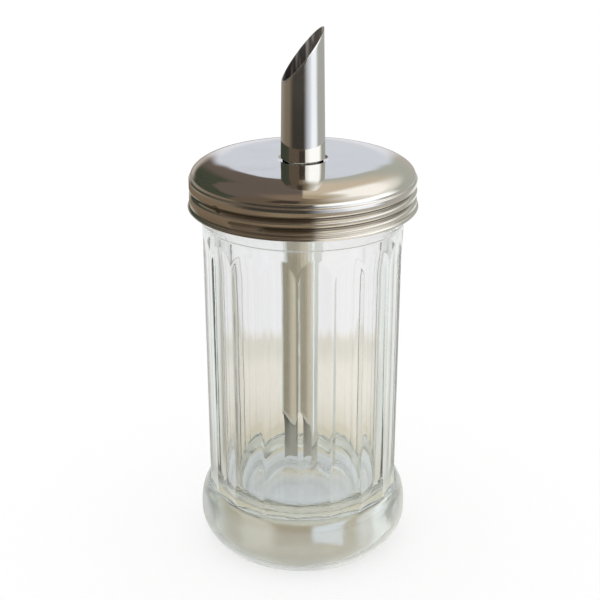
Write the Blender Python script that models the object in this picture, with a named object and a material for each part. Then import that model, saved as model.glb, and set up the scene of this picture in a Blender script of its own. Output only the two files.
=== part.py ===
"""Sugar dispenser with a pour tube.

A pressed glass jar with a panelled body, a thick rounded foot and a threaded neck; a screw lid
pressed from one sheet of stainless steel; a sealing liner that lies on the glass rim; and a
stainless pour tube that stands through the lid and is held under it by a push-on ring.

Metres, +Z up. The jar's axis is X = Y = 0, and z = 0 is the surface that the jar stands on.
The photograph was taken from -Y.
"""

import math

import bmesh
import bpy
import numpy as np

MM = 0.001

# Clearances
SEAT_GAP = 0.3 * MM  # between pieces that lie on each other
TUBE_HOLE_CLEARANCE = 0.25 * MM  # round the tube in the lid and in its ring
THREAD_CREST_CLEARANCE = 0.6 * MM  # from the glass thread's crest to the lid's wall
THREAD_ROOT_CLEARANCE = 0.65 * MM  # from the lid thread's crest to the glass neck
CUT_OVERRUN = 5.0 * MM  # how far a cutter runs past what it cuts

# Glass jar: body
BODY_RADIUS = 33.0 * MM  # ridge circle at the foot
BODY_FLARE = 0.4 * MM  # growth of that radius up to the shoulder
BODY_HEIGHT = 95.8 * MM  # from the foot to the shoulder
GLASS_WALL = 3.6 * MM  # from the ridge circle to the cavity
PANEL_COUNT = 18
PANEL_DEPTH = 0.9 * MM  # how deep a panel's middle lies inside the ridge circle
PANEL_LEDGE = 0.3 * MM  # height over which the foot's top steps in to a panel
PANEL_TOP_MARGIN = 2.8 * MM  # from the crown of a panel's arch to the shoulder
PANEL_ARCH_HEIGHT = 9.0 * MM
FIRST_RIDGE_ANGLE = math.radians(-93.5)
PANEL_STEPS = 4  # mesh steps across one panel
CAVITY_FLOOR = 20.0 * MM
CAVITY_CORNER = 9.5 * MM  # fillet between the cavity's floor and wall

# Glass jar: foot
FOOT_OVERHANG = 3.3 * MM  # how far the foot's bulge stands out from the body
FOOT_UNDERCUT = 5.9 * MM  # how far the resting ring's edge lies inside the bulge
FOOT_REST_WIDTH = 6.4 * MM  # of the flat ring that touches the table
FOOT_BULGE_HEIGHT = 11.5 * MM
FOOT_HEIGHT = 22.0 * MM  # where the panels start
FOOT_CURVE_POWER = 1.9  # fullness of the curve under the bulge
PUSH_UP_DEPTH = 1.6 * MM  # hollow under the foot

# Glass jar: neck
SHOULDER_STEP = 0.6 * MM  # how far the shoulder stands out from the body
NECK_FLARE = 1.1 * MM  # growth from the shoulder to the thread's root
RIM_WIDTH = 3.7 * MM
RIM_FILLET = 1.6 * MM

# Screw thread, single start and right-handed
THREAD_PITCH = 3.2 * MM
GLASS_THREAD_HEIGHT = 1.3 * MM
GLASS_THREAD_WIDTH = 1.9 * MM
GLASS_THREAD_TURNS = (0.05, 1.15)  # counted from the lid thread's lower end
THREAD_LEAD = 1.25 * MM  # the glass thread's middle above the lid thread's
THREAD_FADE = 0.06  # turns over which a thread's end rises
THREAD_START_ANGLE = math.radians(-128.0)
THREAD_ROW = 0.6 * MM  # mesh row height in the threads

# Lid, one pressed sheet
LID_SHEET = 0.45 * MM
LID_STANDOFF = 4.4 * MM  # from the jar's shoulder to the lid's lower edge
LID_CURL_RADIUS = 0.7 * MM  # section radius of the rolled lower edge
LID_CURL_OVERHANG = 0.55 * MM  # how far the curl stands out from the skirt
LID_CREASE_DEPTH = 0.3 * MM  # less than the clearance, so that the glass thread passes it
LID_CREASE_HEIGHT = 0.1 * MM  # of the crease over the curl
LID_THREAD_WIDTH = 2.3 * MM
LID_THREAD_TURNS = (0.0, 1.42)
LID_THREAD_MARGIN = 0.45 * MM  # plain skirt between crease and thread
LID_PLAIN_BAND = 1.5 * MM  # plain skirt above the thread
LID_LEDGE_HEIGHT = 0.5 * MM  # step between the skirt and the dome
LID_LEDGE_WIDTH = 0.55 * MM
LID_DOME_WIDTH = 12.6 * MM
LID_DOME_HEIGHT = 5.2 * MM
LID_STEPS = 48

# Liner
LINER_THICKNESS = 1.3 * MM
LINER_OVERHANG = 1.0 * MM  # past the glass rim, over the cavity

# Pour tube
TUBE_RADIUS = 7.3 * MM  # just above the lid
TUBE_TAPER = 0.6 * MM  # how much smaller its radius is at the tip
TUBE_SHOULDER = 0.8 * MM  # how much smaller its radius is below the lid
TUBE_WALL = 0.5 * MM
TUBE_RISE = 42.3 * MM  # from the lid's top to the tip
TUBE_FLOOR_GAP = 6.5 * MM  # from the cavity's floor to the tube's end
TUBE_STEPS = 48
MOUTH_SLOPE = math.radians(51.5)
MOUTH_RISE_ANGLE = math.radians(10.7)  # the way in which the mouth rises
NOTCH_ANGLE = math.radians(213.8)  # the way in which the side notch faces
NOTCH_CHORD = 1.35 * MM  # the notch's flat from the tube's axis
NOTCH_HEIGHT = 22.0 * MM  # from the tube's end to the notch's top at the wall
NOTCH_SLANT = 3.0 * MM  # fall of the notch's slanting top
NOTCH_CORNER = 6.0 * MM  # height of the curve from the slant to the flat

# Push-on ring under the lid
RING_SHEET = 0.6 * MM
RING_FLANGE = 3.85 * MM  # width of its flat flange
RING_SLEEVE = 2.2 * MM  # depth of its sleeve round the tube
RING_FILLET = 0.8 * MM

# Radii that follow, from the body out to the lid
CAVITY_RADIUS = BODY_RADIUS - GLASS_WALL
FOOT_RADIUS = BODY_RADIUS + FOOT_OVERHANG
FOOT_REST_RADIUS = FOOT_RADIUS - FOOT_UNDERCUT
PUSH_UP_RADIUS = FOOT_REST_RADIUS - FOOT_REST_WIDTH
SHOULDER_RADIUS = BODY_RADIUS + BODY_FLARE + SHOULDER_STEP
NECK_RADIUS = SHOULDER_RADIUS + NECK_FLARE
RIM_RADIUS = CAVITY_RADIUS + RIM_WIDTH
LID_INNER_RADIUS = NECK_RADIUS + GLASS_THREAD_HEIGHT + THREAD_CREST_CLEARANCE
LID_BAND_RADIUS = LID_INNER_RADIUS + LID_SHEET
LID_THREAD_DEPTH = LID_INNER_RADIUS - NECK_RADIUS - THREAD_ROOT_CLEARANCE
LID_CURL_CENTRE_RADIUS = LID_BAND_RADIUS + LID_CURL_OVERHANG - LID_CURL_RADIUS
LID_DOME_RADIUS = LID_BAND_RADIUS - LID_LEDGE_WIDTH
LID_FLAT_RADIUS = LID_DOME_RADIUS - LID_DOME_WIDTH
LINER_OUTER_RADIUS = RIM_RADIUS - RIM_FILLET / 2
LINER_INNER_RADIUS = CAVITY_RADIUS - LINER_OVERHANG
TUBE_TIP_RADIUS = TUBE_RADIUS - TUBE_TAPER
TUBE_LOWER_RADIUS = TUBE_RADIUS - TUBE_SHOULDER
TUBE_HOLE_RADIUS = TUBE_LOWER_RADIUS + TUBE_HOLE_CLEARANCE

# Heights that follow, from the foot up to the tip
SHOULDER_HEIGHT = FOOT_HEIGHT + BODY_HEIGHT
PANEL_TOP = SHOULDER_HEIGHT - PANEL_TOP_MARGIN
LID_BOTTOM = SHOULDER_HEIGHT + LID_STANDOFF
LID_CREASE = LID_BOTTOM + 2 * LID_CURL_RADIUS + LID_CREASE_HEIGHT
LID_THREAD_BASE = LID_CREASE + LID_THREAD_MARGIN + LID_THREAD_WIDTH / 2
GLASS_THREAD_BASE = LID_THREAD_BASE + THREAD_LEAD
LID_THREAD_TOP = LID_THREAD_BASE + THREAD_PITCH * LID_THREAD_TURNS[1] + LID_THREAD_WIDTH / 2
LID_BAND_TOP = LID_THREAD_TOP + LID_PLAIN_BAND
LID_DOME_BASE = LID_BAND_TOP + LID_LEDGE_HEIGHT
LID_TOP = LID_DOME_BASE + LID_DOME_HEIGHT
TUBE_END = CAVITY_FLOOR + TUBE_FLOOR_GAP
TUBE_TIP = LID_TOP + TUBE_RISE


def dome_height(radius, inset):
    """Height of the dome's quarter ellipse, moved in by inset, at this radius."""
    share = min((radius - LID_FLAT_RADIUS) / (LID_DOME_WIDTH - inset), 1)
    return LID_DOME_BASE + (LID_DOME_HEIGHT - inset) * math.sqrt(1 - share**2)


LINER_TOP = dome_height(LINER_OUTER_RADIUS, LID_SHEET) - SEAT_GAP
JAR_HEIGHT = LINER_TOP - LINER_THICKNESS - SEAT_GAP


def clear_scene():
    for obj in list(bpy.data.objects):
        bpy.data.objects.remove(obj, do_unlink=True)


def finish_material(name, colour, metallic, roughness, transmission=0.0):
    material = bpy.data.materials.new(name)
    material.use_nodes = True
    shader = material.node_tree.nodes["Principled BSDF"]
    shader.inputs["Base Color"].default_value = (*colour, 1.0)
    shader.inputs["Metallic"].default_value = metallic
    shader.inputs["Roughness"].default_value = roughness
    shader.inputs["Transmission Weight"].default_value = transmission
    material.diffuse_color = (*colour, 1.0)
    return material


def add_object(name, bm, material):
    """Turns a finished bmesh into a smooth-shaded object with one material."""
    bmesh.ops.recalc_face_normals(bm, faces=bm.faces)
    mesh = bpy.data.meshes.new(name)
    bm.to_mesh(mesh)
    bm.free()
    mesh.materials.append(material)
    mesh.shade_smooth()
    mesh.set_sharp_from_angle(angle=math.radians(40))
    obj = bpy.data.objects.new(name, mesh)
    bpy.context.scene.collection.objects.link(obj)
    return obj


def loft(bm, rings, closed=False, poles=()):
    """Skins a stack of rings, each an array of points in the same angular order.

    closed joins the last ring to the first, as round a bore. poles are the two points on the
    axis that close the stack's ends.
    """
    loops = [[bm.verts.new(point) for point in ring] for ring in rings]
    pairs = list(zip(loops, loops[1:]))
    if closed:
        pairs.append((loops[-1], loops[0]))
    for low, high in pairs:
        for i in range(len(low)):
            j = (i + 1) % len(low)
            bm.faces.new((low[i], low[j], high[j], high[i]))
    for point, loop in zip(poles, (loops[0], loops[-1])):
        tip = bm.verts.new(point)
        for i in range(len(loop)):
            bm.faces.new((tip, loop[i], loop[(i + 1) % len(loop)]))


def ring(angles, radius, height):
    """A ring of points. radius may be one number or one for each angle."""
    radius = np.broadcast_to(radius, angles.shape)
    return np.stack(
        [radius * np.cos(angles), radius * np.sin(angles), np.full(angles.shape, height)], axis=1
    )


def turned(name, profile, steps, material):
    """A closed profile of (radius, height) points turned about the axis."""
    angles = np.linspace(0, 2 * np.pi, steps, endpoint=False)
    bm = bmesh.new()
    loft(bm, [ring(angles, radius, height) for radius, height in profile], closed=True)
    return add_object(name, bm, material)


def arc(centre, radii, start, end, steps):
    """Points on an elliptic arc between two angles in degrees, ends included."""
    turns = np.radians(np.linspace(start, end, steps + 1))
    return [
        (centre[0] + radii[0] * math.cos(turn), centre[1] + radii[1] * math.sin(turn))
        for turn in turns
    ]


def thread(angles, height, base, width, turns):
    """How far a helical thread stands, from 0 to 1, at each angle of a ring at this height.

    The thread's middle climbs one pitch a turn from base. Its section is a raised cosine, and
    it rises from nothing over THREAD_FADE turns at each end.
    """
    lead = ((angles - THREAD_START_ANGLE) / (2 * np.pi)) % 1.0
    stand = np.zeros(angles.shape)
    for whole_turns in range(-1, 3):
        along = lead + whole_turns
        off_centre = (height - base - THREAD_PITCH * along) / width
        section = np.where(abs(off_centre) < 0.5, 0.5 + 0.5 * np.cos(2 * np.pi * off_centre), 0.0)
        inside = np.minimum(along - turns[0], turns[1] - along) / THREAD_FADE
        stand = np.maximum(stand, section * np.clip(inside, 0, 1))
    return stand


def thread_rows(base, width, turns):
    """Mesh rows through a thread's whole height, evenly spaced near THREAD_ROW."""
    low = base + THREAD_PITCH * turns[0] - width / 2
    high = base + THREAD_PITCH * turns[1] + width / 2
    return list(np.linspace(low, high, round((high - low) / THREAD_ROW) + 1))


def foot_radius(height):
    """The foot's profile: a full curve up to the bulge, then a quarter ellipse to the body."""
    if height <= FOOT_BULGE_HEIGHT:
        turn = math.acos(1 - height / FOOT_BULGE_HEIGHT)
        return FOOT_REST_RADIUS + (FOOT_RADIUS - FOOT_REST_RADIUS) * math.sin(turn) ** FOOT_CURVE_POWER
    share = min((height - FOOT_BULGE_HEIGHT) / (FOOT_HEIGHT - FOOT_BULGE_HEIGHT), 1)
    return BODY_RADIUS + (FOOT_RADIUS - BODY_RADIUS) * math.sqrt(1 - share**2)


def body_radius(angles, height):
    """The panelled body: hollow panels between ridges, each ended by an arch at the top."""
    climb = (height - FOOT_HEIGHT) / (SHOULDER_HEIGHT - FOOT_HEIGHT)
    ridge = BODY_RADIUS + BODY_FLARE * climb
    across = ((angles - FIRST_RIDGE_ANGLE) * PANEL_COUNT / (2 * np.pi)) % 1.0 * 2 - 1
    run_out = max((height - PANEL_TOP) / PANEL_ARCH_HEIGHT + 1, 0) ** 2 * PANEL_DEPTH
    return np.minimum(ridge - PANEL_DEPTH * (1 - across**2) + run_out, ridge)


def neck_radius(height):
    """The neck between the shoulder and the lid flares from the shoulder to the thread's root."""
    climb = (height - SHOULDER_HEIGHT) / LID_STANDOFF
    return SHOULDER_RADIUS + NECK_FLARE * climb**2


def make_jar(material):
    """One pressed piece. Rings run from under the foot up the outside and down the cavity."""
    angles = FIRST_RIDGE_ANGLE + np.linspace(0, 2 * np.pi, PANEL_COUNT * PANEL_STEPS, endpoint=False)
    rings = []

    for share in (1 / 3, 2 / 3, 1):
        rings.append(ring(angles, PUSH_UP_RADIUS * share, PUSH_UP_DEPTH * (1 - share**2)))
    rings.append(ring(angles, FOOT_REST_RADIUS, 0))

    for turn in (25, 40, 55, 70, 90):
        height = FOOT_BULGE_HEIGHT * (1 - math.cos(math.radians(turn)))
        rings.append(ring(angles, foot_radius(height), height))
    for turn in (25, 50, 70, 90):
        height = FOOT_BULGE_HEIGHT + (FOOT_HEIGHT - FOOT_BULGE_HEIGHT) * math.sin(math.radians(turn))
        rings.append(ring(angles, foot_radius(height), height))

    rings.append(ring(angles, body_radius(angles, FOOT_HEIGHT), FOOT_HEIGHT + PANEL_LEDGE))
    for share in (1.0, 0.6, 0.35, 0.15, 0.0):
        height = PANEL_TOP - PANEL_ARCH_HEIGHT * share
        rings.append(ring(angles, body_radius(angles, height), height))
    rings.append(ring(angles, body_radius(angles, SHOULDER_HEIGHT), SHOULDER_HEIGHT))

    for share in (0.2, 0.6, 1.0):
        height = SHOULDER_HEIGHT + LID_STANDOFF * share
        rings.append(ring(angles, neck_radius(height), height))
    for height in thread_rows(GLASS_THREAD_BASE, GLASS_THREAD_WIDTH, GLASS_THREAD_TURNS):
        stand = thread(angles, height, GLASS_THREAD_BASE, GLASS_THREAD_WIDTH, GLASS_THREAD_TURNS)
        rings.append(ring(angles, NECK_RADIUS + GLASS_THREAD_HEIGHT * stand, height))

    rim_foot = JAR_HEIGHT - RIM_FILLET
    profile = arc((RIM_RADIUS - RIM_FILLET, rim_foot), (RIM_FILLET, RIM_FILLET), 0, 90, 3)
    profile += arc((CAVITY_RADIUS + RIM_FILLET, rim_foot), (RIM_FILLET, RIM_FILLET), 90, 180, 3)
    profile += arc(
        (CAVITY_RADIUS - CAVITY_CORNER, CAVITY_FLOOR + CAVITY_CORNER),
        (CAVITY_CORNER, CAVITY_CORNER),
        0,
        -90,
        4,
    )
    rings += [ring(angles, radius, height) for radius, height in profile]
    rings.append(ring(angles, (CAVITY_RADIUS - CAVITY_CORNER) / 2, CAVITY_FLOOR))

    bm = bmesh.new()
    loft(bm, rings, poles=((0, 0, PUSH_UP_DEPTH), (0, 0, CAVITY_FLOOR)))
    return add_object("glass_jar", bm, material)


def make_lid(material):
    """One sheet: its outside from the hole down to the curl, then its inside back up."""
    angles = np.linspace(0, 2 * np.pi, LID_STEPS, endpoint=False)
    rows = thread_rows(LID_THREAD_BASE, LID_THREAD_WIDTH, LID_THREAD_TURNS)
    curl = arc(
        (LID_CURL_CENTRE_RADIUS, LID_BOTTOM + LID_CURL_RADIUS),
        (LID_CURL_RADIUS, LID_CURL_RADIUS),
        90,
        -180,
        8,
    )

    def dome(inset):
        turns = np.radians([90, 70, 50, 32, 15, 0])
        radii = LID_FLAT_RADIUS + (LID_DOME_WIDTH - inset) * np.cos(turns)
        return [ring(angles, radius, dome_height(radius, inset)) for radius in radii]

    def skirt(radius):
        stands = [
            thread(angles, row, LID_THREAD_BASE, LID_THREAD_WIDTH, LID_THREAD_TURNS) for row in rows
        ]
        return [
            ring(angles, radius - LID_THREAD_DEPTH * stand, row) for stand, row in zip(stands, rows)
        ]

    rings = [ring(angles, TUBE_HOLE_RADIUS, LID_TOP)] + dome(0)
    rings.append(ring(angles, LID_BAND_RADIUS, LID_BAND_TOP))
    rings += reversed(skirt(LID_BAND_RADIUS))
    rings.append(ring(angles, LID_BAND_RADIUS - LID_CREASE_DEPTH, LID_CREASE))
    rings += [ring(angles, radius, height) for radius, height in curl]
    rings.append(ring(angles, LID_INNER_RADIUS - LID_CREASE_DEPTH, LID_CREASE))
    rings += skirt(LID_INNER_RADIUS)
    rings.append(ring(angles, LID_INNER_RADIUS, LID_BAND_TOP - LID_SHEET))
    rings += reversed(dome(LID_SHEET))
    rings.append(ring(angles, TUBE_HOLE_RADIUS, LID_TOP - LID_SHEET))

    bm = bmesh.new()
    loft(bm, rings, closed=True)
    return add_object("lid_shell", bm, material)


def make_liner(material):
    """A flat soft ring between the glass rim and the lid."""
    low = LINER_TOP - LINER_THICKNESS
    chamfer = LINER_THICKNESS / 4
    profile = [
        (LINER_INNER_RADIUS, low),
        (LINER_INNER_RADIUS, LINER_TOP),
        (LINER_OUTER_RADIUS - chamfer, LINER_TOP),
        (LINER_OUTER_RADIUS, LINER_TOP - chamfer),
        (LINER_OUTER_RADIUS, low),
    ]
    return turned("lid_liner", profile, LID_STEPS, material)


def cutter(name, bm):
    """A helper solid that only cuts: it is drawn as wire and left out of renders."""
    bmesh.ops.recalc_face_normals(bm, faces=bm.faces)
    mesh = bpy.data.meshes.new(name)
    bm.to_mesh(mesh)
    bm.free()
    obj = bpy.data.objects.new(name, mesh)
    obj.hide_render = True
    obj.display_type = "WIRE"
    bpy.context.scene.collection.objects.link(obj)
    return obj


def extruded_cutter(name, outline, half_width, angle):
    """A prism: outline holds (distance from the axis, height) points in the plane at angle."""
    out = np.array([math.cos(angle), math.sin(angle), 0])
    side = np.array([-math.sin(angle), math.cos(angle), 0])
    up = np.array([0, 0, 1])
    bm = bmesh.new()
    ends = [
        [bm.verts.new(out * far + up * height + side * half_width * way) for far, height in outline]
        for way in (-1, 1)
    ]
    bm.faces.new(ends[0])
    bm.faces.new(reversed(ends[1]))
    for i in range(len(outline)):
        j = (i + 1) % len(outline)
        bm.faces.new((ends[0][i], ends[1][i], ends[1][j], ends[0][j]))
    return cutter(name, bm)


def cut(obj, tool):
    boolean = obj.modifiers.new(tool.name, "BOOLEAN")
    boolean.operation = "DIFFERENCE"
    boolean.object = tool


def make_tube(material):
    """A drawn tube with a shoulder on the lid, a slight taper, a slanting mouth and a notch."""
    shoulder = LID_TOP + SEAT_GAP
    profile = [
        (TUBE_LOWER_RADIUS, TUBE_END),
        (TUBE_LOWER_RADIUS, shoulder),
        (TUBE_RADIUS, shoulder),
        (TUBE_TIP_RADIUS, TUBE_TIP),
        (TUBE_TIP_RADIUS - TUBE_WALL, TUBE_TIP),
        (TUBE_RADIUS - TUBE_WALL, shoulder + TUBE_SHOULDER + TUBE_WALL),
        (TUBE_LOWER_RADIUS - TUBE_WALL, shoulder + TUBE_WALL),
        (TUBE_LOWER_RADIUS - TUBE_WALL, TUBE_END),
    ]
    tube = turned("pour_tube", profile[::-1], TUBE_STEPS, material)

    reach = TUBE_RADIUS + CUT_OVERRUN
    slope = math.tan(MOUTH_SLOPE)
    middle = TUBE_TIP - TUBE_TIP_RADIUS * slope
    mouth = [
        (-reach, middle - reach * slope),
        (reach, middle + reach * slope),
        (reach, middle + reach * slope + CUT_OVERRUN),
        (-reach, middle + reach * slope + CUT_OVERRUN),
    ]
    cut(tube, extruded_cutter("mouth_cutter", mouth, reach, MOUTH_RISE_ANGLE))

    top = TUBE_END + NOTCH_HEIGHT
    corner = (TUBE_LOWER_RADIUS + NOTCH_CHORD) / 2
    slant = NOTCH_SLANT / (TUBE_LOWER_RADIUS - corner)
    notch = [
        (reach, TUBE_END - CUT_OVERRUN),
        (reach, top + slant * (reach - TUBE_LOWER_RADIUS)),
        (corner, top - NOTCH_SLANT),
    ]
    for turn in np.radians([60, 30, 0]):
        notch.append(
            (
                NOTCH_CHORD + (corner - NOTCH_CHORD) * (1 - math.cos(turn)),
                top - NOTCH_SLANT - NOTCH_CORNER * (1 - math.sin(turn)),
            )
        )
    notch.append((NOTCH_CHORD, TUBE_END - CUT_OVERRUN))
    cut(tube, extruded_cutter("notch_cutter", notch, reach, NOTCH_ANGLE))
    return tube


def make_ring(material):
    """A push-on ring: a flat flange under the lid with a sleeve that grips the tube."""
    high = LID_TOP - LID_SHEET - SEAT_GAP
    low = high - RING_SHEET
    end = low - RING_SLEEVE
    outer = TUBE_HOLE_RADIUS + RING_FLANGE
    sleeve = TUBE_HOLE_RADIUS + RING_SHEET
    profile = [(TUBE_HOLE_RADIUS, end), (TUBE_HOLE_RADIUS, high), (outer, high), (outer, low)]
    profile += arc((sleeve + RING_FILLET, low - RING_FILLET), (RING_FILLET, RING_FILLET), 90, 180, 3)
    profile.append((sleeve, end))
    return turned("tube_retaining_ring", profile, TUBE_STEPS, material)


clear_scene()
glass = finish_material("clear_glass", (0.86, 0.92, 0.90), 0.0, 0.03, transmission=1.0)
steel = finish_material("polished_steel", (0.72, 0.71, 0.69), 1.0, 0.12)
drawn_steel = finish_material("drawn_steel", (0.70, 0.70, 0.70), 1.0, 0.2)
spring_steel = finish_material("ring_steel", (0.55, 0.55, 0.55), 1.0, 0.35)
soft_white = finish_material("soft_liner", (0.86, 0.86, 0.82), 0.0, 0.5)

make_jar(glass)
make_liner(soft_white)
make_lid(steel)
make_ring(spring_steel)
make_tube(drawn_steel)
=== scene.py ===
"""Sugar dispenser with a pour tube: the looks of its glass jar, liner, screw lid, ring and tube."""

import math

import bpy
import numpy as np
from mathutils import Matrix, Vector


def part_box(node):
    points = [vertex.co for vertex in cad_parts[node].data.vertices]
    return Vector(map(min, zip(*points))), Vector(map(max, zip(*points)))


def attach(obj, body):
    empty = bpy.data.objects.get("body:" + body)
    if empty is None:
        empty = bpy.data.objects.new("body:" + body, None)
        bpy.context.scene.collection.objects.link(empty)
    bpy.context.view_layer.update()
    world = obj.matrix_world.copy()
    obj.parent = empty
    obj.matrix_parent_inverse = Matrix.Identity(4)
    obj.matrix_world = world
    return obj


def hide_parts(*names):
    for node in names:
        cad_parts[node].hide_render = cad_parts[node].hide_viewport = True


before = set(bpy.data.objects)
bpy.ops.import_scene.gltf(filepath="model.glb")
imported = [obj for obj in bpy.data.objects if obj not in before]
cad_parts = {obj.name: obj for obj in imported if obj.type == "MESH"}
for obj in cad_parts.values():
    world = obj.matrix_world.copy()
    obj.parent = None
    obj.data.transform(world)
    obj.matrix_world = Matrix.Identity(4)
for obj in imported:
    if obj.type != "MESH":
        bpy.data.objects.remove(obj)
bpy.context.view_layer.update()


# Glass jar: one pressed piece of clear soda-lime glass. Eighteen hollow panels with arched tops
# stand on a thick rounded foot, and the neck carries one turn of screw thread. The mould leaves the
# surface faintly wavy, and the ring that it stands on is stippled.

MM = 0.001

PUSH_UP = 1.6 * MM
REST_INNER = 24.0 * MM
REST_OUTER = 30.4 * MM
BULGE_RADIUS = 36.3 * MM
BULGE_HEIGHT = 11.5 * MM
FOOT_FULLNESS = 1.9
FOOT_TOP = 22.0 * MM
FOOT_LEDGE = 0.3 * MM

PANELS = 18
PANEL_COLUMNS = 24
PANEL_DEPTH = 0.9 * MM
PANEL_CROWN = 115.0 * MM
ARCH = 9.0 * MM
FIRST_RIDGE = math.radians(-93.5)
RIDGE_RADIUS = 33.0 * MM
RIDGE_ROUND = 0.1  # of the panels' depth
BODY_FLARE = 0.4 * MM

SHOULDER = 117.8 * MM
SHOULDER_RADIUS = 34.0 * MM
LID_EDGE = 122.2 * MM
NECK_RADIUS = 35.1 * MM
PITCH = 3.2 * MM
THREAD_START = math.radians(-128)
THREAD_FADE = 0.06  # of a turn
GLASS_THREAD = dict(base=126.55 * MM, width=1.9 * MM, first=0.05, last=1.15)  # turns
GLASS_THREAD_HEIGHT = 1.3 * MM

JAR_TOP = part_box("glass_jar")[1].z
RIM_RADIUS = 33.1 * MM
RIM_FILLET = 1.6 * MM
CAVITY_RADIUS = 29.4 * MM
CAVITY_FLOOR = 20.0 * MM
CAVITY_CORNER = 9.5 * MM


def once_round(columns, start=0.0):
    """Evenly spaced angles, once round the axis from start."""
    return start + np.linspace(0, 2 * np.pi, columns, endpoint=False)


def carried_round(angle, rows):
    """A grid of points: rows, each a radius and a height, carried round the axis at each angle.

    A point is its radius times cosine, its radius times sine, and its height.
    """
    radius, height = (
        np.stack([np.broadcast_to(part, angle.shape) for part in parts]) for parts in zip(*rows)
    )
    return np.stack([radius * np.cos(angle), radius * np.sin(angle), height], axis=-1)


def add_piece(name, points, loop=False, poles=()):
    """A smooth mesh over a grid of points whose columns run round the axis.

    Four neighbours make a face, and rows that climb on the outside face outwards. loop joins the
    last row to the first, and the two poles close the first and the last row with a fan.
    """
    rows, columns = points.shape[:2]
    row = np.arange(rows if loop else rows - 1)[:, None]
    column = np.arange(columns)[None, :]
    above, beside = (row + 1) % rows, (column + 1) % columns
    corners = [
        row * columns + column,
        row * columns + beside,
        above * columns + beside,
        above * columns + column,
    ]
    faces = np.stack(np.broadcast_arrays(*corners), axis=-1).reshape(-1, 4).tolist()
    vertices = points.reshape(-1, 3)
    if len(poles):
        first, last = np.arange(columns), np.arange(columns) + (rows - 1) * columns
        bottom, top = np.full(columns, rows * columns), np.full(columns, rows * columns + 1)
        faces += np.stack([bottom, np.roll(first, -1), first], axis=-1).tolist()
        faces += np.stack([top, last, np.roll(last, -1)], axis=-1).tolist()
        vertices = np.concatenate([vertices, poles])
    mesh = bpy.data.meshes.new(name)
    mesh.from_pydata(vertices.tolist(), [], faces)
    mesh.shade_smooth()
    piece = bpy.data.objects.new(name, mesh)
    bpy.context.scene.collection.objects.link(piece)
    return piece


def eased(low, high, count):
    """Numbers from low to high, closer together at both ends: half of one minus a cosine."""
    return low + (high - low) * (0.5 - 0.5 * np.cos(np.linspace(0, np.pi, count)))


def arc(centre, radius, start, end, count):
    """Rows along an arc from start to end, in degrees: centre plus radius times cosine and sine."""
    turn = np.radians(np.linspace(start, end, count))
    return list(zip(centre[0] + radius * np.cos(turn), centre[1] + radius * np.sin(turn)))


def thread_stand(angle, height, base, width, first, last):
    """How far a thread stands, from 0 to 1: a raised cosine round a line that climbs with angle.

    The line's height is base plus one pitch a turn. The thread runs from the turn first to the turn
    last, and its stand fades out at both ends.
    """
    lead = ((angle - THREAD_START) / (2 * np.pi)) % 1.0
    stand = np.zeros(np.broadcast(angle, height).shape)
    for turn in range(-1, 3):
        along = lead + turn
        off = (height - base - PITCH * along) / width
        section = np.where(np.abs(off) < 0.5, 0.5 + 0.5 * np.cos(2 * np.pi * off), 0.0)
        ends = np.clip(np.minimum(along - first, last - along) / THREAD_FADE, 0, 1)
        stand = np.maximum(stand, section * ends)
    return stand


def thread_span(base, width, first, last):
    """The heights that a thread stands between: half its width below its start and over its end."""
    return base + PITCH * first - width / 2, base + PITCH * last + width / 2


def panel_radius(angle, height):
    """The ridge circle less a parabola across each panel, which runs out in an arch at the top.

    The fold at each ridge is rounded: the root of the depth's square plus a small square.
    """
    ridge = RIDGE_RADIUS + BODY_FLARE * (height - FOOT_TOP) / (SHOULDER - FOOT_TOP)
    across = ((angle - FIRST_RIDGE) * PANELS / (2 * np.pi)) % 1.0 * 2 - 1
    depth = np.sqrt((1 - across**2) ** 2 + RIDGE_ROUND**2) - RIDGE_ROUND
    run_out = np.maximum((height - PANEL_CROWN) / ARCH + 1, 0) ** 2 * PANEL_DEPTH
    return np.minimum(ridge - PANEL_DEPTH * depth + run_out, ridge)


def foot_rows():
    """From under the foot, a shallow dome and the flat ring that it stands on, up to its top.

    The side is two quarter turns. Below the bulge the radius grows with a power of the sine, and
    above it the radius shrinks with the cosine. A pole closes what the first row leaves open.
    """
    rows = [(REST_INNER * s, PUSH_UP * (1 - s**2)) for s in np.linspace(0.12, 1, 9)]
    rows += [(r, 0.0) for r in np.linspace(REST_INNER, REST_OUTER, 12)[1:]]
    turn = np.linspace(0, np.pi / 2, 26)[1:]
    radius = REST_OUTER + (BULGE_RADIUS - REST_OUTER) * np.sin(turn) ** FOOT_FULLNESS
    rows += list(zip(radius, BULGE_HEIGHT * (1 - np.cos(turn))))
    turn = np.linspace(0, np.pi / 2, 24)[1:]
    radius = RIDGE_RADIUS + (BULGE_RADIUS - RIDGE_RADIUS) * np.cos(turn)
    rows += list(zip(radius, BULGE_HEIGHT + (FOOT_TOP - BULGE_HEIGHT) * np.sin(turn)))
    return rows


def panel_rows(angle):
    """The panels rise from a small ledge on the foot, and have more rows where their arches are."""
    sunk = panel_radius(angle, FOOT_TOP) - RIDGE_RADIUS
    rows = [(RIDGE_RADIUS + sunk * s, FOOT_TOP + FOOT_LEDGE * s**2) for s in (0.4, 0.8, 1.0)]
    heights = [
        np.linspace(FOOT_TOP + 2 * FOOT_LEDGE, PANEL_CROWN - ARCH, 12),
        eased(PANEL_CROWN - ARCH, PANEL_CROWN, 26)[1:],
        np.linspace(PANEL_CROWN, SHOULDER, 5)[1:],
    ]
    return rows + [(panel_radius(angle, h), h) for h in np.concatenate(heights)]


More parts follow.
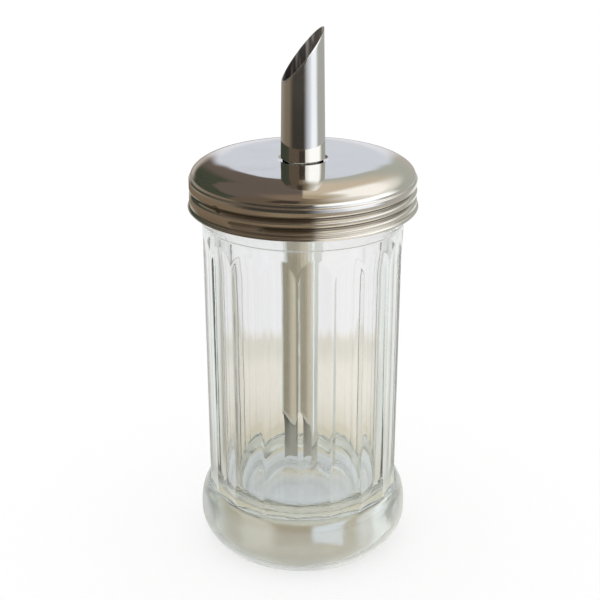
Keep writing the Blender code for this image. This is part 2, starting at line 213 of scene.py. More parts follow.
def neck_rows(angle):
    """A small round step, a neck that flares with the square of its climb, and the thread."""
    step = SHOULDER_RADIUS - RIDGE_RADIUS - BODY_FLARE
    rows = arc((SHOULDER_RADIUS - step, SHOULDER + step), step, -90, 0, 6)[1:]
    climb = np.linspace(0.2, 1, 7)
    flare = SHOULDER_RADIUS + (NECK_RADIUS - SHOULDER_RADIUS) * climb**2
    rows += list(zip(flare, SHOULDER + (LID_EDGE - SHOULDER) * climb))
    for h in np.linspace(*thread_span(**GLASS_THREAD), 34):
        stand = thread_stand(angle, h, **GLASS_THREAD)
        rows.append((NECK_RADIUS + GLASS_THREAD_HEIGHT * stand, h))
    return rows


def cavity_rows():
    """Over the rounded rim, down the straight cavity, round its corner and along its floor."""
    rim = JAR_TOP - RIM_FILLET
    corner = (CAVITY_RADIUS - CAVITY_CORNER, CAVITY_FLOOR + CAVITY_CORNER)
    rows = arc((RIM_RADIUS - RIM_FILLET, rim), RIM_FILLET, 0, 90, 9)
    rows += arc((CAVITY_RADIUS + RIM_FILLET, rim), RIM_FILLET, 90, 180, 9)
    rows += [(CAVITY_RADIUS, h) for h in np.linspace(rim, corner[1], 8)[1:-1]]
    rows += arc(corner, CAVITY_CORNER, 0, -90, 14)
    rows += [(r, CAVITY_FLOOR) for r in np.linspace(corner[0], 0, 8)[1:-1]]
    return rows


jar_angles = once_round(PANELS * PANEL_COLUMNS, FIRST_RIDGE)
jar_rows = foot_rows() + panel_rows(jar_angles) + neck_rows(jar_angles) + cavity_rows()
jar = add_piece(
    "jar_glass",
    carried_round(jar_angles, jar_rows),
    poles=[(0, 0, PUSH_UP), (0, 0, CAVITY_FLOOR)],
)


class Value:
    """One output in a node tree. Arithmetic on it adds Math nodes."""

    def __init__(self, tree, socket):
        self.tree = tree
        self.socket = socket

    def __add__(self, other):
        return self.tree.math("ADD", self, other)

    def __radd__(self, other):
        return self.tree.math("ADD", other, self)

    def __sub__(self, other):
        return self.tree.math("SUBTRACT", self, other)

    def __rsub__(self, other):
        return self.tree.math("SUBTRACT", other, self)

    def __mul__(self, other):
        return self.tree.math("MULTIPLY", self, other)

    def __rmul__(self, other):
        return self.tree.math("MULTIPLY", other, self)

    def __pow__(self, other):
        return self.tree.math("POWER", self, other)

    def __rpow__(self, other):
        return self.tree.math("POWER", other, self)

    def rise(self, low, high):
        """0 below low and 1 above high, with a smooth step between them."""
        ends = {0: self, 1: low, 2: high}
        return self.tree.node("MapRange", ends, interpolation_type="SMOOTHSTEP")

    def fall(self, low, high):
        """1 below low and 0 above high, with a smooth step between them."""
        return 1 - self.rise(low, high)

    def between(self, low, high, blur):
        """1 from low to high and 0 outside, with edges that blur over twice blur."""
        return self.rise(low - blur, low + blur) * self.fall(high - blur, high + blur)


class Finish:
    """The node tree of one material, or of the room that the object stands in."""

    def __init__(self, owner):
        self.owner = owner
        owner.use_nodes = True
        self.nodes = owner.node_tree.nodes
        self.links = owner.node_tree.links
        self.nodes.clear()

    def node(self, kind, inputs=None, output=0, **settings):
        """Adds a node: its own settings first, then its sockets' values or links.

        kind is the node's type without its prefix, and a socket's key its name or number.
        """
        node = self.nodes.new("ShaderNode" + kind)
        for name, value in settings.items():
            setattr(node, name, value)
        for key, value in (inputs or {}).items():
            if isinstance(value, Value):
                self.links.new(value.socket, node.inputs[key])
            else:
                node.inputs[key].default_value = value
        return Value(self, node.outputs[output]) if len(node.outputs) else None

    def math(self, operation, *values):
        """One Math node, on one value or two."""
        return self.node("Math", dict(enumerate(values)), operation=operation)

    def place(self):
        """Where a point is on the piece, in metres, as one vector."""
        return self.node("TexCoord", output="Object")

    def split(self, vector):
        """The x, y and z of a vector."""
        return [self.node("SeparateXYZ", {0: vector}, axis) for axis in "XYZ"]

    def vector(self, x, y, z):
        """A vector of three values, to stretch or squeeze a pattern."""
        return self.node("CombineXYZ", {0: x, 1: y, 2: z})

    def noise(self, vector, scale, detail=2.0, roughness=0.5):
        """Noise from 0 to 1 with about scale bumps in a unit of vector."""
        inputs = {"Vector": vector, "Scale": scale, "Detail": detail, "Roughness": roughness}
        return self.node("TexNoise", inputs)

    def mix(self, factor, first, second):
        """A colour from first, at factor 0, to second, at factor 1.

        Sockets 6 and 7 of a Mix node are its two colours, and its output 2 is the mixed one.
        """
        return self.node("Mix", {0: factor, 6: first, 7: second}, 2, data_type="RGBA")

    def banded(self, along, colour, *bands):
        """A colour that turns to each band's own as along goes from the band's low to its high."""
        for low, high, next_colour in bands:
            colour = self.mix(along.rise(low, high), colour, next_colour)
        return colour

    def bump(self, height, distance):
        """A surface normal that follows a height from 0 to 1, which stands for distance."""
        return self.node("Bump", {"Height": height, "Distance": distance, "Strength": 1.0})

    def principled(self, **inputs):
        """The main surface shader, its sockets named with underscores for spaces."""
        inputs = {name.replace("_", " "): value for name, value in inputs.items()}
        return self.node("BsdfPrincipled", inputs)

    def end(self, kind, **inputs):
        """Ends the tree in its output node, and gives back what the tree belongs to."""
        self.node("Output" + kind, inputs)
        return self.owner


def new_finish(name):
    """An empty tree in a new material."""
    return Finish(bpy.data.materials.new(name))


def rgba(red, green, blue):
    """A solid colour, in linear light."""
    return (red, green, blue, 1.0)


def from_axis(x, y):
    """The distance from the upright axis: the root of the squares' sum."""
    return (x * x + y * y) ** 0.5


CLEAR = rgba(0.985, 0.995, 0.99)
GREEN_IN_DEPTH = rgba(0.55, 0.86, 0.76)
# The white below is painted light, mixed into the glass to lift it where a render loses light.
PAINTED_LIGHT_WHITE = rgba(0.95, 0.96, 0.93)
GLASS_IOR = 1.52


def pressed_glass(name):
    """Clear glass, faintly green in depth, with the mould's slow ripple and a stippled foot ring.

    White diffuse is mixed in as painted light, most where the surface is seen at a slant, and a
    little on the foot and the neck. It stands for the light that goes round inside thick glass more
    often than a render follows it.
    """
    finish = new_finish(name)
    place = finish.place()
    x, y, z = finish.split(place)
    radius = from_axis(x, y)
    ripple = finish.noise(finish.vector(x, y, z * 0.45), scale=190.0, detail=1.5)
    stipple = finish.node("TexVoronoi", {"Vector": place, "Scale": 900.0}).fall(0.15, 0.5)
    on_ring = z.fall(0.05 * MM, 0.4 * MM) * radius.rise(REST_INNER, REST_INNER + MM)
    heel = z.fall(1.5 * MM, 4 * MM) * radius.rise(REST_OUTER - 2 * MM, REST_OUTER)
    foot = z.fall(FOOT_TOP - 5 * MM, FOOT_TOP - 2.5 * MM)
    neck = z.rise(PANEL_CROWN, SHOULDER)
    clear = finish.principled(
        Base_Color=CLEAR,
        Roughness=foot * 0.09 + finish.math("MAXIMUM", on_ring, heel) * 0.25,
        IOR=GLASS_IOR,
        Transmission_Weight=1.0,
        Normal=finish.bump(ripple * 0.35 + stipple * on_ring, distance=0.12 * MM),
    )
    # Painted light: white diffuse mixed in, most at a slant, a little on the foot and the neck.
    painted_light = finish.node("BsdfDiffuse", {"Color": PAINTED_LIGHT_WHITE})
    slant = finish.node("LayerWeight", {"Blend": 0.5}, "Facing").rise(0.3, 0.9)
    share = slant * 0.42 + foot * 0.1 + neck * 0.08
    surface = finish.node("MixShader", {0: share, 1: clear, 2: painted_light})
    depth = finish.node("VolumeAbsorption", {"Color": GREEN_IN_DEPTH, "Density": 2.6})
    return finish.end("Material", Surface=surface, Volume=depth)


jar.data.materials.append(pressed_glass("pressed_glass"))
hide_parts("glass_jar")
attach(jar, "jar")


# Liner: a flat ring of soft white moulded plastic. It lies inside the lid, and screwing the lid
# down presses it on the glass rim, which keeps the damp out and leaves a dull track in it.

liner_low, liner_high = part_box("lid_liner")
LINER_COLUMNS = 192
LINER_INNER = 28.4 * MM
LINER_EDGE = 0.3 * MM
TRACK_INNER = 30.3 * MM
TRACK_OUTER = 32.0 * MM


def liner_rows(outer, inner, low, high, edge):
    """Round a flat ring's section, whose four edges are quarter circles of radius edge."""
    corners = (
        (outer - edge, low + edge, -90),
        (outer - edge, high - edge, 0),
        (inner + edge, high - edge, 90),
        (inner + edge, low + edge, 180),
    )
    return [row for r, h, start in corners for row in arc((r, h), edge, start, start + 90, 6)]


liner = add_piece(
    "liner_ring",
    carried_round(
        once_round(LINER_COLUMNS),
        liner_rows(liner_high.x, LINER_INNER, liner_low.z, liner_high.z, LINER_EDGE),
    ),
    loop=True,
)


MILKY = rgba(0.80, 0.80, 0.75)
WORN_MILKY = rgba(0.66, 0.66, 0.61)


def soft_plastic(name):
    """Milky plastic with a moulded grain and the dull track that the glass rim presses in it."""
    finish = new_finish(name)
    place = finish.place()
    x, y, z = finish.split(place)
    over_rim = from_axis(x, y).between(TRACK_INNER, TRACK_OUTER, 0.3 * MM)
    track = over_rim * z.fall(liner_low.z, liner_high.z)
    grain = finish.noise(place, scale=1800.0, detail=3.0)
    plastic = finish.principled(
        Base_Color=finish.mix(track * 0.5, MILKY, WORN_MILKY),
        Roughness=0.45 + grain * 0.2,
        Subsurface_Weight=0.15,
        Subsurface_Scale=0.5 * MM,
        Normal=finish.bump(grain - track, distance=0.04 * MM),
    )
    return finish.end("Material", Surface=plastic)


liner.data.materials.append(soft_plastic("soft_plastic"))
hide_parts("lid_liner")
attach(liner, "liner")


# Lid: pressed from one sheet of polished stainless steel. It has a flat top with a hole for the
# tube, a domed shoulder, a plain band, a rolled screw thread that shows as a slanting groove, and a
# lower edge that is curled outwards. Its polish is nearly a mirror, with faint turning marks.

LID_COLUMNS = 384
SHEET = 0.45 * MM
HOLE_RADIUS = 6.75 * MM
FLAT_RADIUS = 24.3 * MM
DOME_RADIUS = 36.9 * MM
DOME_HEIGHT = 5.2 * MM
LEDGE = 0.5 * MM
BAND_TOP = 132.494 * MM
SKIRT_RADIUS = 37.45 * MM
LID_THREAD = dict(base=125.3 * MM, width=2.3 * MM, first=0.0, last=1.42)  # turns
LID_THREAD_DEPTH = 1.25 * MM
CREASE = 123.75 * MM
CREASE_DEPTH = 0.55 * MM
CREASE_LIP = 0.15 * MM
CURL_CENTRE = 37.3 * MM
CURL_RADIUS = 0.7 * MM
DENT_ANGLE = math.radians(-137)
DENT_HEIGHT = 128.5 * MM
DENT_SIZE = 0.9 * MM
DENT_DEPTH = 0.22 * MM


def dome_rows(inset, count):
    """A quarter ellipse from the flat top down to the ledge, moved in by inset."""
    turn = np.linspace(np.pi / 2, 0, count)
    radius = FLAT_RADIUS + (DOME_RADIUS - FLAT_RADIUS - inset) * np.cos(turn)
    return list(zip(radius, BAND_TOP + LEDGE + (DOME_HEIGHT - inset) * np.sin(turn)))


def skirt_rows(angle, radius, count):
    """The skirt from bottom to top: its radius less the thread and less one small dent.

    The dent is a bell curve, e to the minus square of the distance from its middle over its size.
    """
    rows = []
    for h in np.linspace(*thread_span(**LID_THREAD), count):
        groove = LID_THREAD_DEPTH * thread_stand(angle, h, **LID_THREAD)
        away = np.hypot((angle - DENT_ANGLE) * SKIRT_RADIUS, h - DENT_HEIGHT) / DENT_SIZE
        rows.append((radius - groove - DENT_DEPTH * np.exp(-(away**2)), h))
    return rows


def lid_rows(angle):
    """Radius and height of each row, from the hole over the outside, round the curl and back up."""
    outer, inner, top = SKIRT_RADIUS, SKIRT_RADIUS - SHEET, BAND_TOP + LEDGE + DOME_HEIGHT

    # The flat top, the dome, the small ledge under it, and the rounded upper edge of the band.
    rows = [(r, top) for r in np.linspace(HOLE_RADIUS, FLAT_RADIUS, 10)[:-1]]
    rows += dome_rows(0, 34)
    fillet = (SKIRT_RADIUS - DOME_RADIUS) / 2
    rows += arc((DOME_RADIUS + fillet, BAND_TOP + fillet * 0.9), fillet, 180, 270, 5)
    rows += arc((outer - fillet, BAND_TOP - fillet), fillet, 90, 0, 5)

    # The skirt, the crease under it, and the curled edge.
    rows += skirt_rows(angle, outer, 58)[::-1]
    rows += [(outer - CREASE_DEPTH * s, CREASE + CREASE_LIP * (1 - s)) for s in (0.5, 1.0)]
    rows += arc((CURL_CENTRE, LID_EDGE + CURL_RADIUS), CURL_RADIUS, 80, -180, 26)

    # The same on the inside, one sheet further in, and in fewer rows because little of it shows.
    rows.append((inner - CREASE_DEPTH / 2, CREASE))
    rows += skirt_rows(angle, inner, 30)
    rows.append((inner, BAND_TOP - SHEET))
    rows += dome_rows(SHEET, 12)[::-1]
    rows += [(r, top - SHEET) for r in (FLAT_RADIUS * 0.6, HOLE_RADIUS)]
    return rows


# The rows run down the outside, so their order is turned round to face outwards.
lid_angles = once_round(LID_COLUMNS, -np.pi)
lid = add_piece("lid_cap", carried_round(lid_angles, lid_rows(lid_angles)[::-1]), loop=True)


POLISHED = rgba(0.80, 0.785, 0.765)
SMUDGED = rgba(0.73, 0.715, 0.69)
# The brown below is painted shade for the roots of the thread and the crease.
CREASE_SHADE_BROWN = rgba(0.16, 0.125, 0.085)


def mirror_steel(name):
    """Stainless sheet polished on a lathe: fine rings, a slow ripple, hairline scratches, smudges.

    Painted brown shade darkens the roots of the thread and the crease over the curled edge.
    """
    finish = new_finish(name)
    place = finish.place()
    x, y, z = finish.split(place)
    radius = from_axis(x, y)
    rings = finish.noise(finish.vector(radius, z, 0.0), scale=5200.0, detail=1.0)
    ripple = finish.noise(place, scale=60.0, detail=1.0)
    smudge = finish.noise(place, scale=95.0, detail=4.0, roughness=0.6).rise(0.42, 0.72)
    sideways = finish.vector(x * 3, y * 0.16, z * 3)
    aslant = finish.vector(x * 0.2 + y * 0.2, y * 3 - x * 3, z * 2)
    marks = finish.noise(sideways, scale=1500.0, detail=1.0).rise(0.70, 0.78)
    marks = marks + finish.noise(aslant, scale=1100.0, detail=1.0).rise(0.72, 0.8)

    # Painted shade: the roots of the thread and the crease over the curl are mixed towards brown.
    root = SKIRT_RADIUS - LID_THREAD_DEPTH
    in_thread = radius.fall(root + 0.1 * MM, root + 0.5 * MM)
    in_thread = in_thread * z.fall(BAND_TOP - 2 * MM, BAND_TOP - MM)
    in_crease = z.between(CREASE - 0.2 * MM, CREASE + 0.2 * MM, 0.1 * MM)
    in_crease = in_crease * radius.fall(SKIRT_RADIUS - 0.5 * MM, SKIRT_RADIUS - 0.2 * MM)
    crease_shade = finish.math("MAXIMUM", in_thread, in_crease)
    steel = finish.principled(
        Base_Color=finish.mix(crease_shade * 0.75, finish.mix(smudge * 0.35, POLISHED, SMUDGED), CREASE_SHADE_BROWN),
        Metallic=1.0,
        Roughness=0.05 + smudge * 0.045 + marks * 0.12,
        Normal=finish.bump(ripple * 0.6 + rings * 0.004 - marks * 0.008, distance=0.25 * MM),
    )
    return finish.end("Material", Surface=steel)


lid.data.materials.append(mirror_steel("mirror_steel"))
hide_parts("lid_shell")
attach(lid, "lid")


# Retaining ring: a round push-on ring, pressed from thin spring steel. Its flange lies against the
# lid from below and its sleeve grips the tube, so that the tube can't be pulled up out of the lid.

ring_low, ring_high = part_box("tube_retaining_ring")
RING_COLUMNS = 160
RING_SHEET = 0.6 * MM
RING_FILLET = 0.8 * MM
RING_EDGE = 0.12 * MM


def ring_rows(outer, low, high):
    """Round the section: the sleeve's lower end, the fillet under the flange, and back on top."""
    flange_low = high - RING_SHEET
    sleeve = HOLE_RADIUS + RING_SHEET
    edge = RING_EDGE
    return [
        *arc((HOLE_RADIUS + edge, low + edge), edge, 180, 270, 4),
        *arc((sleeve - edge, low + edge), edge, 270, 360, 4),
        *arc((sleeve + RING_FILLET, flange_low - RING_FILLET), RING_FILLET, 180, 90, 9),
        *arc((outer - edge, flange_low + edge), edge, 270, 360, 4),
        *arc((outer - edge, high - edge), edge, 0, 90, 4),
        *arc((HOLE_RADIUS + edge, high - edge), edge, 90, 180, 4),
    ]


ring = add_piece(
    "retaining_ring",
    carried_round(once_round(RING_COLUMNS), ring_rows(ring_high.x, ring_low.z, ring_high.z)),
    loop=True,
)


BARE_STEEL = rgba(0.50, 0.50, 0.49)
OILY_STEEL = rgba(0.40, 0.37, 0.33)


def spring_steel(name):
    """Unpolished pressed steel with a fine speckle and faint brown oil tint."""
    finish = new_finish(name)
    place = finish.place()
    speckle = finish.noise(place, scale=2600.0, detail=3.0)
    tint = finish.noise(place, scale=220.0).rise(0.4, 0.75)
    steel = finish.principled(
        Base_Color=finish.mix(tint, BARE_STEEL, OILY_STEEL),
        Metallic=1.0,
        Roughness=0.32 + speckle * 0.12,
        Normal=finish.bump(speckle, distance=0.02 * MM),
    )
    return finish.end("Material", Surface=steel)


ring.data.materials.append(spring_steel("spring_steel"))
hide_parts("tube_retaining_ring")
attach(ring, "tube_ring")


# Pour tube: thin drawn stainless tube. A shoulder sits on the lid, the mouth is cut on a slant, and
# the lower end has a long side notch. Drawing leaves fine lines along it. Its bore is painted dark
# as shade, with painted streaks of reflection, and lighter low down.

TUBE_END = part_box("pour_tube")[0].z
TUBE_COLUMNS = 180
TUBE_SEAT = 138.494 * MM
TIP = 180.494 * MM
LOWER_RADIUS = 6.5 * MM
TUBE_RADIUS = 7.3 * MM
TIP_RADIUS = 6.7 * MM
TAPER = (TUBE_RADIUS - TIP_RADIUS) / (TIP - TUBE_SEAT)
WALL = 0.5 * MM
RIM_ROUND = 0.16 * MM
MOUTH_SLOPE = math.tan(math.radians(51.5))
MOUTH_RISES_TO = math.radians(10.7)
NOTCH_FACES = math.radians(213.8)
NOTCH_HEIGHT = 22.0 * MM
NOTCH_FLAT = 1.35 * MM
NOTCH_SLANT = 3.0 * MM
NOTCH_CORNER = 6.0 * MM
NOTCH_BLEND = 0.12 * MM
NEAR_UPRIGHT = 0.03  # radians to either side


def spout_row(height, inset):
    """A row on the wall over the lid: its radius falls evenly from seat to tip, less inset."""
    return TUBE_RADIUS - TAPER * (height - TUBE_SEAT) - inset, height


def mouth_height(angle, inset):
    """Where the mouth's slanting plane meets the tapered wall, the wall moved in by inset."""
    lean = MOUTH_SLOPE * np.cos(angle - MOUTH_RISES_TO)
    middle = TIP - TIP_RADIUS * MOUTH_SLOPE
    return (middle + lean * (TUBE_RADIUS - inset + TAPER * TUBE_SEAT)) / (1 + lean * TAPER)


def notch_height(angle, radius):
    """Height of the tube's lower edge: level, but over the notch its slant, curve and upright."""
    out = radius * np.cos(angle - NOTCH_FACES)
    top = TUBE_END + NOTCH_HEIGHT
    corner = (LOWER_RADIUS + NOTCH_FLAT) / 2
    slant = top - NOTCH_SLANT * (LOWER_RADIUS - out) / (LOWER_RADIUS - corner)
    share = np.clip((corner - out) / (corner - NOTCH_FLAT), 0, 1)
    curve = top - NOTCH_SLANT - NOTCH_CORNER * (1 - np.sqrt(1 - share**2))
    upright = np.clip((out - NOTCH_FLAT) / NOTCH_BLEND + 1, 0, 1)
    edge = np.where(out > corner, slant, curve)
    return TUBE_END + (edge - TUBE_END) * upright


def angles_with_notch():
    """Even steps round the tube, with extra ones at the two uprights of the notch."""
    half = math.acos(NOTCH_FLAT / LOWER_RADIUS)
    near = np.linspace(-NEAR_UPRIGHT, NEAR_UPRIGHT, 13)
    uprights = np.concatenate([NOTCH_FACES + half + near, NOTCH_FACES - half + near])
    return np.unique(np.concatenate([once_round(TUBE_COLUMNS), uprights % (2 * np.pi)]))


def tube_rows(angle):
    """Each row's radius and height: up the outside, over the mouth's rim, and down the bore.

    A rim is a quarter circle on the outside and one on the inside: its inset is its radius times
    one minus cosine, and its drop is its radius times one minus sine.
    """
    shares = np.linspace(0, 1, 30)
    turn = np.radians(np.linspace(0, 90, 5))
    quarter = list(zip(RIM_ROUND * (1 - np.cos(turn)), RIM_ROUND * (1 - np.sin(turn))))
    rim, rim_back = quarter[1:], quarter[:0:-1]

    # Outside: the lower tube, the shoulder that sits on the lid, the spout, and its mouth's rim.
    low = notch_height(angle, LOWER_RADIUS) + RIM_ROUND
    rows = [(LOWER_RADIUS, low + (TUBE_SEAT - low) * s) for s in shares]
    rows += [(TUBE_RADIUS - drop, TUBE_SEAT + inset) for inset, drop in quarter]
    low, high = TUBE_SEAT + 2 * RIM_ROUND, mouth_height(angle, 0) - RIM_ROUND
    rows += [spout_row(low + (high - low) * s, 0) for s in shares]
    over = rim + [(WALL - inset, drop) for inset, drop in rim_back]
    rows += [spout_row(mouth_height(angle, inset) - drop, inset) for inset, drop in over]

    # Inside: the spout's bore, the lower tube's bore, and the lower end's rim.
    low = TUBE_SEAT + TUBE_RADIUS - LOWER_RADIUS + WALL
    high = mouth_height(angle, WALL) - RIM_ROUND
    rows += [spout_row(high + (low - high) * s, WALL) for s in shares]
    bore = LOWER_RADIUS - WALL
    low, high = notch_height(angle, bore) + RIM_ROUND, TUBE_SEAT + WALL
    rows += [(bore, high + (low - high) * s) for s in shares]
    under = [(bore + inset, drop) for inset, drop in rim]
    under += [(LOWER_RADIUS - inset, drop) for inset, drop in rim_back]
    rows += [(radius, notch_height(angle, radius) + drop) for radius, drop in under]
    return rows


tube_angles = angles_with_notch()
tube = add_piece("spout_tube", carried_round(tube_angles, tube_rows(tube_angles)), loop=True)


DRAWN, DRAWN_PALE = rgba(0.76, 0.76, 0.755), rgba(0.81, 0.81, 0.80)
# The bore's colours are painted light: dark shade, streaks of reflection, and a lighter low part.
BORE_PAINTED_SHADE, BORE_PAINTED_STREAK = rgba(0.13, 0.115, 0.105), rgba(0.50, 0.475, 0.45)
BORE_PAINTED_LIGHT_LOW = rgba(0.66, 0.655, 0.63)


def tube_steel(name):
    """Stainless tube with drawing lines along it, a satin upper end and a bore in painted shade,
    streaked with painted reflections and lighter low down.

    A point is in the bore where its radius is under that of the middle of the wall.
    """
    finish = new_finish(name)
    place = finish.place()
    x, y, z = finish.split(place)
    wider = TUBE_RADIUS - LOWER_RADIUS - (z - TUBE_SEAT) * TAPER
    middle = z.rise(TUBE_SEAT, TUBE_SEAT + MM) * wider + (LOWER_RADIUS - WALL / 2)
    bore = (from_axis(x, y) - middle).fall(-0.1 * MM, 0.1 * MM)
    satin = z.rise(146 * MM, 164 * MM)
    lines = finish.noise(finish.vector(x, y, z * 0.02), scale=2200.0)
    painted_reflection_streaks = finish.noise(finish.vector(x, y, z * 0.12), scale=420.0, detail=3.0).rise(0.52, 0.66)
    ripple = finish.noise(finish.vector(x, y, z * 0.5), scale=150.0, detail=1.0)
    mottle = finish.noise(place, scale=620.0, detail=3.0)
    bright = finish.mix(lines, DRAWN, DRAWN_PALE)
    # The bore is painted dark as shade, with painted streaks of reflection, and lighter low down.
    dull = finish.mix(painted_reflection_streaks, BORE_PAINTED_SHADE, BORE_PAINTED_STREAK)
    dull = finish.mix(z.rise(37 * MM, 44 * MM), BORE_PAINTED_LIGHT_LOW, dull)
    bumps = lines * 0.012 + ripple * 0.35 + satin * mottle * 0.05
    steel = finish.principled(
        Base_Color=finish.mix(bore, bright, dull),
        Metallic=1 - bore * 0.55,
        Roughness=0.05 + satin * (0.05 + mottle * 0.1) + bore * 0.2,
        Normal=finish.bump(bumps, distance=0.12 * MM),
    )
    return finish.end("Material", Surface=steel)


tube.data.materials.append(tube_steel("tube_steel"))
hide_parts("pour_tube")
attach(tube, "lid")


# Table: a white sweep under plain soft light. Polished metal shows it as a brown table with a
# bright right side, in three rings round the object, and clear glass shows it as a beige one.

TABLE_REACH = 3.0
TABLE_DROP = 0.2 * MM
DEGREES = math.degrees(1)  # in a radian
MIDDLE_RING_BEGINS = (390 * MM, 415 * MM)
FAR_RING_BEGINS = (500 * MM, 540 * MM)
WALL_WHITE = rgba(0.925, 0.905, 0.935)

floor_mesh = bpy.data.meshes.new("floor")
corners = np.array([(-1, -1), (1, -1), (1, 1), (-1, 1)]) * TABLE_REACH
floor_mesh.from_pydata([(x, y, -TABLE_DROP) for x, y in corners], [], [(0, 1, 2, 3)])
floor = bpy.data.objects.new("floor", floor_mesh)
bpy.context.scene.collection.objects.link(floor)


def bearing_of(finish, x, y):
    """The bearing of a direction in degrees: 0 towards the camera's side, positive to the right."""
    return finish.math("ARCTAN2", x, 0 - y) * DEGREES


def seen_by(finish, in_metal, in_glass, in_both):
    """The colour that a ray brings, and 1 where metal or glass sent it here.

    in_glass is seen straight through glass, and in_both through it after a reflection.
    """
    to_eye = finish.node("LightPath", output="Is Camera Ray")
    in_mirror = finish.node("LightPath", output="Is Glossy Ray")
    through_glass = finish.node("LightPath", output="Is Transmission Ray")
    reflected = finish.node("LightPath", output="Glossy Depth").rise(0.4, 0.6)
    shown = finish.mix(through_glass, in_metal, finish.mix(reflected, in_glass, in_both))
    return shown, finish.math("MAXIMUM", through_glass, in_mirror) * (1 - to_eye)


def table_in_metal(finish, bearing, sideways, distance):
    """Each ring round the object has its own brown at the left and its own light at the right.
    The near ring's dark brown at the left is a painted shadow on the table.
    """
    # The near ring's first brown is a painted shadow on the table at the left.
    near = finish.banded(
        bearing,
        rgba(0.09, 0.065, 0.042),
        (5, 25, rgba(1.0, 0.93, 0.78)),
        (66, 105, rgba(0.52, 0.51, 0.42)),
    )
    near = finish.mix(sideways.rise(122, 142), near, rgba(0.74, 0.77, 0.75))
    middle = finish.banded(
        bearing,
        rgba(0.21, 0.155, 0.10),
        (-50, -15, rgba(0.29, 0.22, 0.14)),
        (4, 62, rgba(0.50, 0.47, 0.42)),
        (115, 150, rgba(0.95, 0.94, 0.90)),
    )
    far = finish.banded(
        bearing,
        rgba(0.33, 0.30, 0.25),
        (-150, -90, rgba(0.22, 0.17, 0.12)),
        (-84, -48, rgba(0.05, 0.045, 0.036)),
        (0, 34, rgba(0.68, 0.70, 0.75)),
        (30, 52, rgba(1.10, 1.13, 1.18)),
        (68, 88, rgba(0.46, 0.45, 0.42)),
    )
    rings = (*MIDDLE_RING_BEGINS, middle), (*FAR_RING_BEGINS, far)
    return finish.banded(distance, near, *rings)


def table_in_glass(finish, place, y, distance):
    """Pale wood, darker round the object as painted shadow, with a dull far edge that the white
    wall comes after.

    Right under the jar the table is bluish, as glass sends light down through its floor.
    """
    grain = finish.noise(place, scale=9.0)
    wood = finish.mix(grain, rgba(0.885, 0.835, 0.77), rgba(0.845, 0.79, 0.715))
    # Painted shadow: the wood turns darker near the object.
    shown = finish.mix(distance.fall(50 * MM, 130 * MM), wood, rgba(0.62, 0.565, 0.44))
    far_edge = y.between(155 * MM, 185 * MM, 12 * MM)
    shown = finish.mix(far_edge * 0.5, shown, rgba(0.66, 0.63, 0.56))
    shown = finish.mix(y.rise(176 * MM, 194 * MM), shown, WALL_WHITE)
    return finish.mix(distance.fall(37 * MM, 41 * MM), shown, rgba(0.63, 0.665, 0.70))


def table_in_both(finish, bearing, sideways, y, distance):
    """Beige at the left and bright at the right, where a strip of the window's light lies.
    Near the object it turns darker, as painted shade.
    """
    right = distance.rise(150 * MM, 230 * MM)
    right = finish.mix(right, rgba(0.66, 0.67, 0.64), rgba(0.84, 0.84, 0.81))
    shown = finish.banded(
        bearing,
        rgba(0.37, 0.325, 0.245),
        (-45, 15, rgba(0.68, 0.61, 0.47)),
        (14, 42, right),
    )
    shown = finish.mix(bearing.between(56, 66, 4), shown, rgba(1.25, 1.25, 1.22))
    behind = finish.mix(y.rise(50 * MM, 280 * MM), rgba(0.70, 0.74, 0.70), rgba(0.86, 0.87, 0.88))
    shown = finish.mix(sideways.rise(100, 122), shown, behind)
    # Painted shade: darker near the object.
    return finish.mix(distance.fall(70 * MM, 100 * MM), shown, rgba(0.62, 0.60, 0.53))


def table_finish(name):
    """White to the eye. Over half of it is its own light, so the object's shadow stays soft."""
    finish = new_finish(name)
    place = finish.place()
    x, y, _ = finish.split(place)
    distance = from_axis(x, y)
    bearing = bearing_of(finish, x, y)
    sideways = finish.math("ABSOLUTE", bearing)
    shown, seen = seen_by(
        finish,
        table_in_metal(finish, bearing, sideways, distance),
        table_in_glass(finish, place, y, distance),
        table_in_both(finish, bearing, sideways, y, distance),
    )
    shade = finish.node("BsdfDiffuse", {"Color": rgba(0.42, 0.42, 0.42)})
    lift = finish.node("Emission", {"Color": rgba(1, 1, 1), "Strength": 0.6})
    white = finish.node("AddShader", {0: shade, 1: lift})
    shown = finish.node("Emission", {"Color": shown})
    return finish.end("Material", Surface=finish.node("MixShader", {0: seen, 1: white, 2: shown}))


floor_mesh.materials.append(table_finish("white_table"))


# Room: plain white light all round. Polished metal shows a brown room with a window at the right
# and a plant at the left, clear glass a pale wall, and both together an upright window frame.


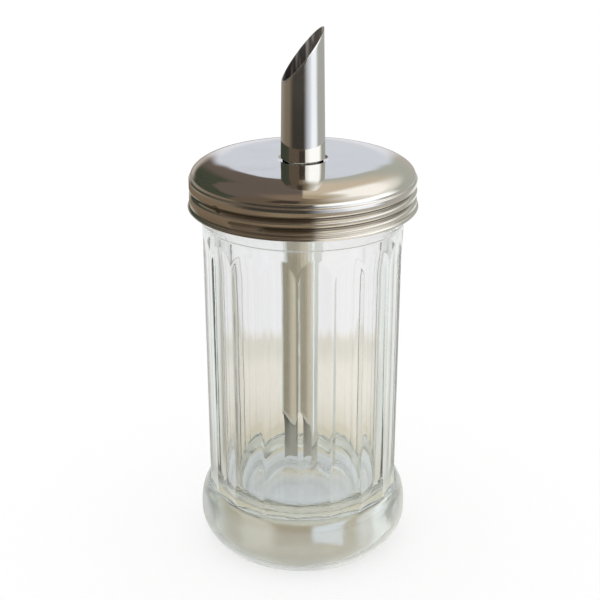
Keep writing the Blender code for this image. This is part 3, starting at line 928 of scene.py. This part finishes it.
def room_in_metal(room, direction, bearing, height):
    """Dark furniture at the left, a bright wall and window at the right, a plant and a ceiling."""
    left = room.mix(bearing.rise(-110, -60), rgba(0.145, 0.115, 0.095), rgba(0.14, 0.105, 0.073))
    cupboard = bearing.between(-20, 11, 2) * height.between(7, 20, 2)
    shelf = bearing.between(-42, -4, 3) * height.between(38, 68, 4)
    left = room.mix(room.math("MAXIMUM", cupboard, shelf), left, rgba(0.06, 0.045, 0.035))
    board = bearing.between(-24, 8, 3) * height.between(21, 36, 3)
    left = room.mix(board, left, rgba(0.22, 0.17, 0.11))

    low = room.banded(
        bearing,
        rgba(1.08, 1.06, 1.0),
        (12, 42, rgba(1.48, 1.49, 1.47)),
        (88, 116, rgba(0.46, 0.47, 0.41)),
    )
    high = room.banded(
        bearing,
        rgba(0.33, 0.26, 0.16),
        (10, 90, rgba(0.90, 0.86, 0.78)),
        (150, 166, rgba(0.66, 0.56, 0.43)),
    )
    right = room.mix(height.rise(20, 38), low, high)
    up = height.rise(17, 28)
    corner = bearing.rise(8, 16) * (1 - up) + bearing.rise(-14, 36) * up
    shown = room.mix(corner, left, right)
    window = bearing.between(92, 160, 7) * height.between(40, 67, 4)
    shown = room.mix(window, shown, rgba(1.16, 1.12, 1.04))
    ceiling = room.mix(bearing.rise(10, 80), rgba(0.23, 0.17, 0.12), rgba(0.48, 0.39, 0.26))
    shown = room.mix(height.rise(62, 80), shown, ceiling)

    patches = room.noise(direction, scale=9.0)
    plant = bearing.between(-164, -78, 5) * (height + patches * 10).between(4, 42, 4)
    leaves = room.mix(patches, rgba(0.045, 0.052, 0.035), rgba(0.08, 0.088, 0.06))
    shown = room.mix(plant, shown, leaves)
    behind = room.math("ABSOLUTE", bearing)
    shown = room.mix(behind.rise(138, 158) * height.fall(5, 14), shown, rgba(0.51, 0.46, 0.41))
    wall = room.mix(height.rise(8, 16), rgba(0.83, 0.84, 0.89), rgba(0.70, 0.74, 0.805))
    return room.mix(behind.rise(169, 174) * height.fall(17, 20), shown, wall)


def room_in_both(room, across, height):
    """Brown uprights and pale panes side by side, paler at both ends low down, beige high up."""
    shown = room.banded(
        across,
        rgba(0.80, 0.80, 0.74),
        (-60, -34, rgba(0.50, 0.43, 0.32)),
        (-30, -22, rgba(0.70, 0.62, 0.51)),
        (-13, -7, rgba(0.40, 0.31, 0.205)),
        (14, 16, rgba(0.48, 0.40, 0.28)),
        (19, 25, rgba(0.78, 0.74, 0.70)),
        (29, 37, rgba(1.12, 1.12, 1.12)),
    )
    ends = room.math("ABSOLUTE", across).rise(30, 38)
    low = room.mix(ends, rgba(0.54, 0.47, 0.35), rgba(0.95, 0.95, 0.92))
    shown = room.mix(height.fall(22, 30), shown, low)
    pane = across.between(3, 14.5, 1) * height.between(27, 35, 1)
    shown = room.mix(pane, shown, rgba(0.77, 0.77, 0.81))
    return room.mix(height.rise(41, 50), shown, rgba(0.66, 0.60, 0.48))


world = bpy.data.worlds.new("studio")
bpy.context.scene.world = world
room = Finish(world)
direction = room.node("TexCoord", output="Generated")
x, y, z = room.split(direction)
height = room.math("ARCSINE", z) * DEGREES
across = room.math("ARCTAN2", 0 - x, y) * DEGREES
shown, seen = seen_by(
    room,
    room_in_metal(room, direction, bearing_of(room, x, y), height),
    room.mix(height.rise(25, 70), WALL_WHITE, rgba(0.72, 0.70, 0.63)),
    room_in_both(room, across, height),
)
light = room.node("Background", {"Color": room.mix(seen, rgba(1, 1, 1), shown)})
room.end("World", Surface=light)


# Camera: fitted to the object's outline in the photograph. It looks down from half a metre away,
# and its shift puts the object where the photograph's frame has it.

LOOKS_DOWN = 23.9  # degrees
EYE_BACK = 443.97 * MM
EYE_UP = 261.74 * MM
FOCAL_LENGTH, SENSOR_WIDTH = 83.96, 36  # in millimetres, as the camera has them
NEAREST = 10 * MM

camera = bpy.data.objects.new("camera", bpy.data.cameras.new("camera"))
bpy.context.scene.collection.objects.link(camera)
camera.location = (0, -EYE_BACK, EYE_UP)
camera.rotation_euler = (math.radians(90 - LOOKS_DOWN), 0, 0)
camera.data.sensor_width = SENSOR_WIDTH
camera.data.lens = FOCAL_LENGTH
camera.data.shift_x = -0.005
camera.data.shift_y = 0.106
camera.data.clip_start = NEAREST
bpy.context.scene.camera = camera
bpy.context.scene.view_settings.view_transform = "Standard"
